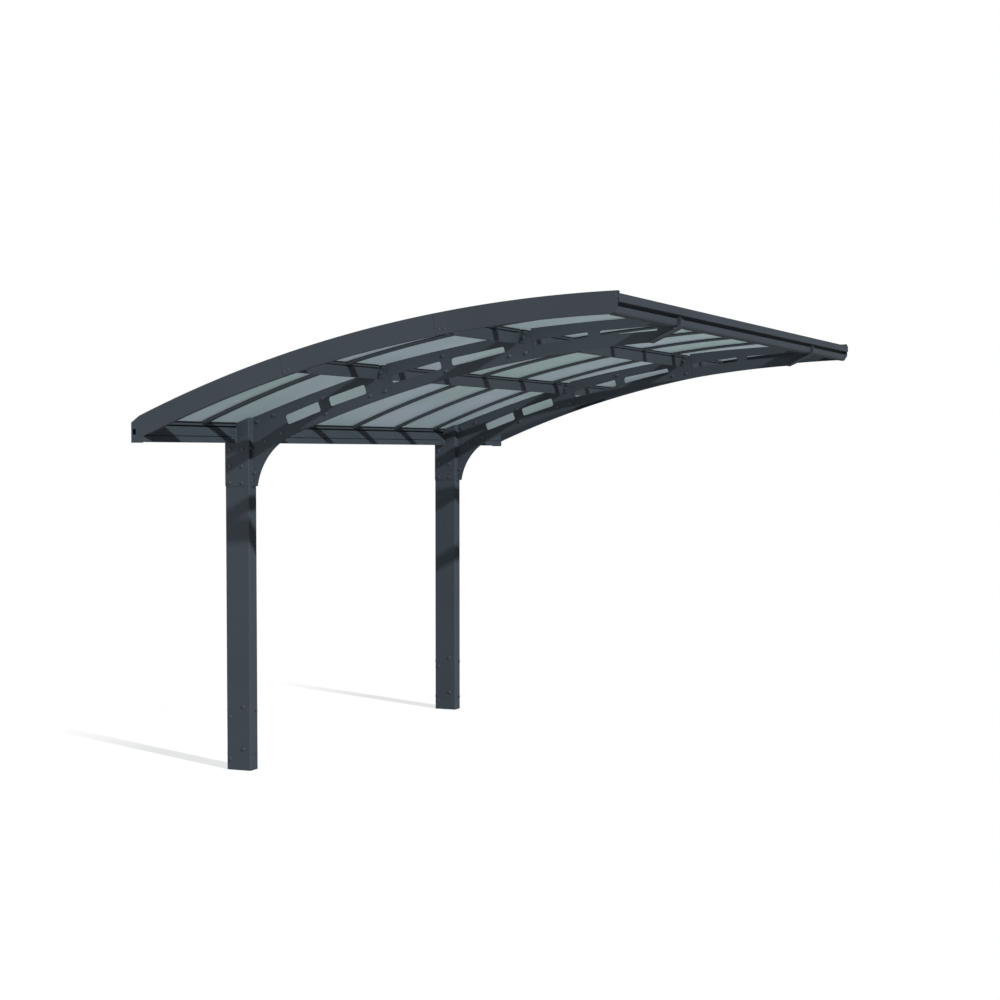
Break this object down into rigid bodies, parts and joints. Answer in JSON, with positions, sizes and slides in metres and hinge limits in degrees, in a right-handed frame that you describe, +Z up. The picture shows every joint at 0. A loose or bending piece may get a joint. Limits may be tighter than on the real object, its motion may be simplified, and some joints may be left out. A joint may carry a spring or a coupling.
{
  "type": "single cantilever carport",
  "caption": "Cantilever carport: bowed clear roof on tapered arms over posts along one side, with purlins, end fascias, a low gutter beam and a front rail.",
  "frame": {"origin": "centre of the near post's foot, on the underside of its base shoe", "axes": "+Z up, +X from the posts across the roof to the outer edge, +Y along the roof from the near post to the far post"},
  "size_m": [2.815, 4.95, 2.6738],
  "materials": {
    "frame": "satin powder coat, dark blue grey",
    "zinc": "galvanised",
    "panel": "tinted translucent sheet"
  },
  "bodies": {
    "root": {"near_post": "frame", "far_post": "frame", "near_base_shoe": "zinc", "far_base_shoe": "zinc", "low_beam": "frame", "front_rail": "frame", "near_arm_root_left": "frame", "near_arm_root_right": "frame", "near_arm_middle_left": "frame", "near_arm_middle_right": "frame", "near_arm_tip_left": "frame", "near_arm_tip_right": "frame", "far_arm_root_left": "frame", "far_arm_root_right": "frame", "far_arm_middle_left": "frame", "far_arm_middle_right": "frame", "far_arm_tip_left": "frame", "far_arm_tip_right": "frame", "near_arm_end_bracket": "frame", "far_arm_end_bracket": "frame", "arm_splice_plates": "frame", "lower_purlin_near": "frame", "lower_purlin_middle": "frame", "lower_purlin_far": "frame", "upper_purlin_near": "frame", "upper_purlin_middle": "frame", "upper_purlin_far": "frame", "purlin_cleats": "frame", "near_fascia_low": "frame", "near_fascia_middle": "frame", "near_fascia_high": "frame", "far_fascia_low": "frame", "far_fascia_middle": "frame", "far_fascia_high": "frame", "glazing_bars": "frame", "bar_caps": "frame", "roof_panel_1": "panel", "roof_panel_2": "panel", "roof_panel_3": "panel", "roof_panel_4": "panel", "roof_panel_5": "panel", "roof_panel_6": "panel", "roof_panel_7": "panel", "roof_panel_8": "panel"}
  },
  "joints": []
}
